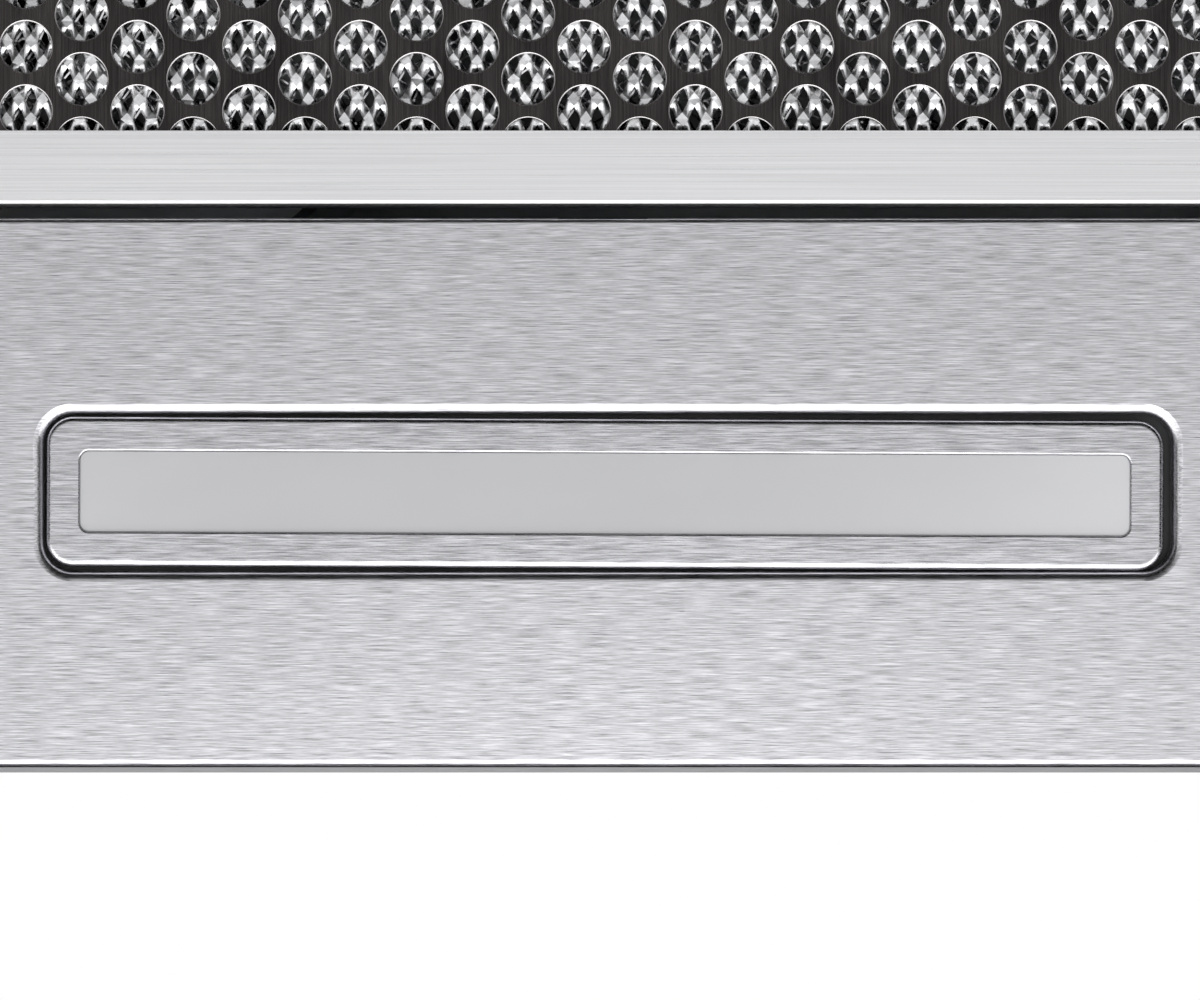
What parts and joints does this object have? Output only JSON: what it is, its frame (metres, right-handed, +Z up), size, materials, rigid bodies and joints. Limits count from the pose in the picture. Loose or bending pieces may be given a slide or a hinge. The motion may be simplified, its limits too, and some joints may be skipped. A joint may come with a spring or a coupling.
{
  "type": "under cabinet range hood",
  "caption": "Slim under-cabinet range hood: folded stainless canopy with lamp strips, hinged mesh filters, blower, push buttons and a damped round duct collar.",
  "frame": {"origin": "centre of the four mounting slots, on the upper face of the top panel", "axes": "+X to the right as seen from the front, +Y back to the wall, +Z up into the cabinet"},
  "size_m": [0.759, 0.504, 0.185],
  "materials": {
    "brushed_stainless": "brushed along X",
    "zinc_sheet": "galvanised",
    "bright_steel": "plated",
    "wheel_nut_brass": "machined",
    "bearing_bronze": "sintered",
    "winding_copper": "enamelled wire",
    "motor_paint": "black enamel",
    "core_iron": "laminated",
    "black_plastic": "moulded",
    "terminal_plastic": "moulded",
    "capacitor_can": "drawn",
    "control_trim": "polished black",
    "circuit_board": "solder mask",
    "led_board": "white solder mask",
    "diffuser": "frosted",
    "frame_aluminium": "extruded",
    "plate_metal": "dark brushed",
    "mesh_aluminium": "expanded",
    "latch_plastic": "moulded"
  },
  "bodies": {
    "canopy": {"back_panel": "zinc_sheet", "blower_mountings": "bright_steel", "cable_clamp": "black_plastic", "canopy_wrap": "brushed_stainless", "capacitor": "capacitor_can", "capacitor_clamp": "zinc_sheet", "centre_rail": "brushed_stainless", "control_bezel": "control_trim", "control_board": "circuit_board", "control_housing": "black_plastic", "damper_pin": "bright_steel", "duct_collar": "zinc_sheet", "inlet_guard": "bright_steel", "inlet_ring": "black_plastic", "lamp_bases": "black_plastic", "lamp_bezels": "brushed_stainless", "lamp_diffusers": "diffuser", "lamp_fixings": "bright_steel", "led_driver": "black_plastic", "led_strips": "led_board", "light_panel": "brushed_stainless", "motor_bearings": "bearing_bronze", "motor_can": "motor_paint", "motor_end_cap": "motor_paint", "motor_stator": "core_iron", "motor_windings": "winding_copper", "outlet_box": "zinc_sheet", "rear_cover": "zinc_sheet", "rear_rail": "brushed_stainless", "screws": "bright_steel", "scroll_bottom": "zinc_sheet", "scroll_top": "zinc_sheet", "scroll_wall": "zinc_sheet", "terminal_block": "terminal_plastic", "top_panel": "zinc_sheet", "wiring_box": "zinc_sheet", "wiring_cover": "zinc_sheet"},
    "rotor": {"fan_wheel": "black_plastic", "wheel_nut": "wheel_nut_brass", "motor_shaft": "bright_steel", "motor_rotor": "core_iron"},
    "flap_rear": {"damper_flap_rear": "zinc_sheet"},
    "flap_front": {"damper_flap_front": "zinc_sheet"},
    "filter_left": {"filter_frame_left": "frame_aluminium", "filter_plate_left": "plate_metal", "filter_mesh_left": "mesh_aluminium", "filter_back_left": "frame_aluminium", "filter_latch_case_left": "latch_plastic"},
    "filter_right": {"filter_frame_right": "frame_aluminium", "filter_plate_right": "plate_metal", "filter_mesh_right": "mesh_aluminium", "filter_back_right": "frame_aluminium", "filter_latch_case_right": "latch_plastic"},
    "latch_left": {"latch_left": "latch_plastic"},
    "latch_right": {"latch_right": "latch_plastic"},
    "button_fan_low": {"button_fan_low": "bright_steel"},
    "button_fan_mid": {"button_fan_mid": "bright_steel"},
    "button_fan_high": {"button_fan_high": "bright_steel"},
    "button_fan_off": {"button_fan_off": "bright_steel"},
    "button_light": {"button_light": "bright_steel"}
  },
  "joints": [
    {"name": "fan_spin", "type": "hinge", "parent": "canopy", "child": "rotor", "pos_m": [-0.06, -0.06, -0.05], "axis": [0, 0, 1], "continuous": true},
    {"name": "flap_rear_hinge", "type": "hinge", "parent": "canopy", "child": "flap_rear", "pos_m": [0, 0.15, 0.014], "axis": [1, 0, 0], "range_deg": [0, 78]},
    {"name": "flap_front_hinge", "type": "hinge", "parent": "canopy", "child": "flap_front", "pos_m": [0, 0.15, 0.014], "axis": [-1, 0, 0], "range_deg": [0, 78]},
    {"name": "filter_left_drop", "type": "hinge", "parent": "canopy", "child": "filter_left", "pos_m": [-0.182, -0.164, -0.1362], "axis": [-1, 0, 0], "range_deg": [0, 35]},
    {"name": "latch_left_slide", "type": "slide", "parent": "filter_left", "child": "latch_left", "axis": [0, -1, 0], "range_m": [0, 0.008], "stiffness_N_per_m": 250, "springref_m": -0.004},
    {"name": "filter_right_drop", "type": "hinge", "parent": "canopy", "child": "filter_right", "pos_m": [0.182, -0.164, -0.1362], "axis": [-1, 0, 0], "range_deg": [0, 35]},
    {"name": "latch_right_slide", "type": "slide", "parent": "filter_right", "child": "latch_right", "axis": [0, -1, 0], "range_m": [0, 0.008], "stiffness_N_per_m": 250, "springref_m": -0.004},
    {"name": "button_fan_low_press", "type": "slide", "parent": "canopy", "child": "button_fan_low", "axis": [0, 1, 0], "range_m": [0, 0.003], "stiffness_N_per_m": 400, "springref_m": -0.001},
    {"name": "button_fan_mid_press", "type": "slide", "parent": "canopy", "child": "button_fan_mid", "axis": [0, 1, 0], "range_m": [0, 0.003], "stiffness_N_per_m": 400, "springref_m": -0.001},
    {"name": "button_fan_high_press", "type": "slide", "parent": "canopy", "child": "button_fan_high", "axis": [0, 1, 0], "range_m": [0, 0.003], "stiffness_N_per_m": 400, "springref_m": -0.001},
    {"name": "button_fan_off_press", "type": "slide", "parent": "canopy", "child": "button_fan_off", "axis": [0, 1, 0], "range_m": [0, 0.003], "stiffness_N_per_m": 400, "springref_m": -0.001},
    {"name": "button_light_press", "type": "slide", "parent": "canopy", "child": "button_light", "axis": [0, 1, 0], "range_m": [0, 0.003], "stiffness_N_per_m": 400, "springref_m": -0.001}
  ]
}
